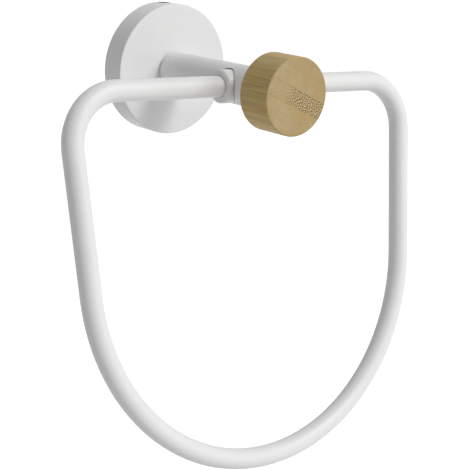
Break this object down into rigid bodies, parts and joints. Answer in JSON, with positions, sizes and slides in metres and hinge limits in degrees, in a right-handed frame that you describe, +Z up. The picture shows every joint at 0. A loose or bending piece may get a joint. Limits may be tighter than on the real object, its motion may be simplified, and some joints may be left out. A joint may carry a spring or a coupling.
{
  "type": "towel ring",
  "caption": "Wall-mounted towel ring: a closed bar ring swings and slides in a lined bore across a short round post with a bamboo end disc, on a round rosette that hides its wall bracket.",
  "frame": {"origin": "centre of the rosette on the wall", "axes": "+Y into the wall, so the post stands out along -Y; +Z up; +X to the right seen from the room"},
  "size_m": [0.1684, 0.0841, 0.1709],
  "materials": {
    "powder_coat": "satin white powder coat",
    "bush": "white acetal, matched to the powder coat",
    "bamboo": "laminated bamboo, sanded and oiled, end grain on the face",
    "screw_steel": "bright zinc-plated steel",
    "black_steel": "black oxidised steel",
    "bracket_steel": "plain turned steel"
  },
  "bodies": {
    "wall_mount": {"rosette": "powder_coat", "wall_bracket": "bracket_steel", "grub_screw": "black_steel", "post": "powder_coat", "post_washer": "screw_steel", "post_screw": "screw_steel", "knob_stud": "screw_steel", "wood_disc": "bamboo", "bush_left": "bush", "bush_right": "bush"},
    "liner": {"liner": "bush"},
    "ring": {"ring": "powder_coat"}
  },
  "joints": [
    {"name": "ring_swing", "type": "hinge", "parent": "wall_mount", "child": "liner", "pos_m": [0, -0.0516, -0.0006], "axis": [-1, 0, 0], "range_deg": [-30.3, 188.3]},
    {"name": "ring_slide", "type": "slide", "parent": "liner", "child": "ring", "axis": [1, 0, 0], "range_m": [-0.0571, 0.0459]}
  ]
}
